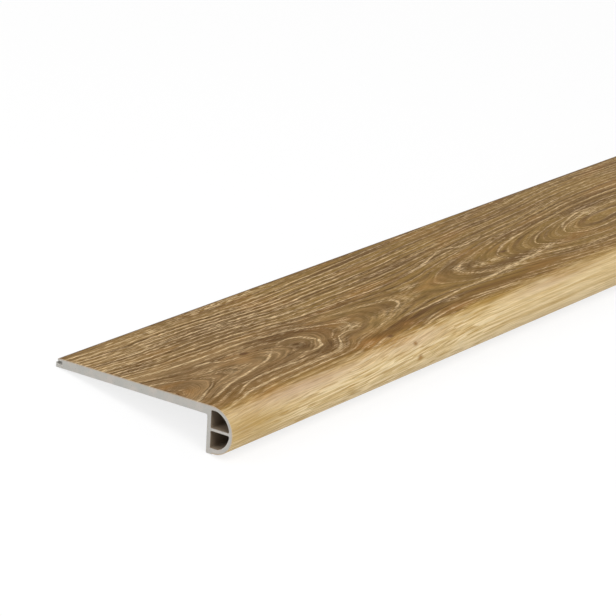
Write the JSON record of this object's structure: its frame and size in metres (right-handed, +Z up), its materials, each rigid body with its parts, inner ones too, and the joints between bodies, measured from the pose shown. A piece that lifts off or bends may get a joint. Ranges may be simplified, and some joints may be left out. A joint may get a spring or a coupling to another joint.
{
  "type": "stair tread nosing",
  "caption": "Bullnose stair tread edge profile: wood-look deck, hollow rounded nose, leg behind it and a locking groove along the back edge.",
  "frame": {"origin": "on the floor, under the middle of the profile as it rests", "axes": "+X along the length, -Y towards the nose, +Y towards the locking edge, +Z up off the wood-look face. The deck slopes down to the back by 11.6 degrees, as the loose profile lies on its leg and back edge"},
  "size_m": [1.2, 0.1152, 0.0256],
  "materials": {
    "grey_vinyl": "fine sawn and extruded matt grey",
    "oak_film": "embossed limed oak print, satin"
  },
  "bodies": {
    "root": {"core_profile": "grey_vinyl", "decor_film": "oak_film"}
  },
  "joints": []
}
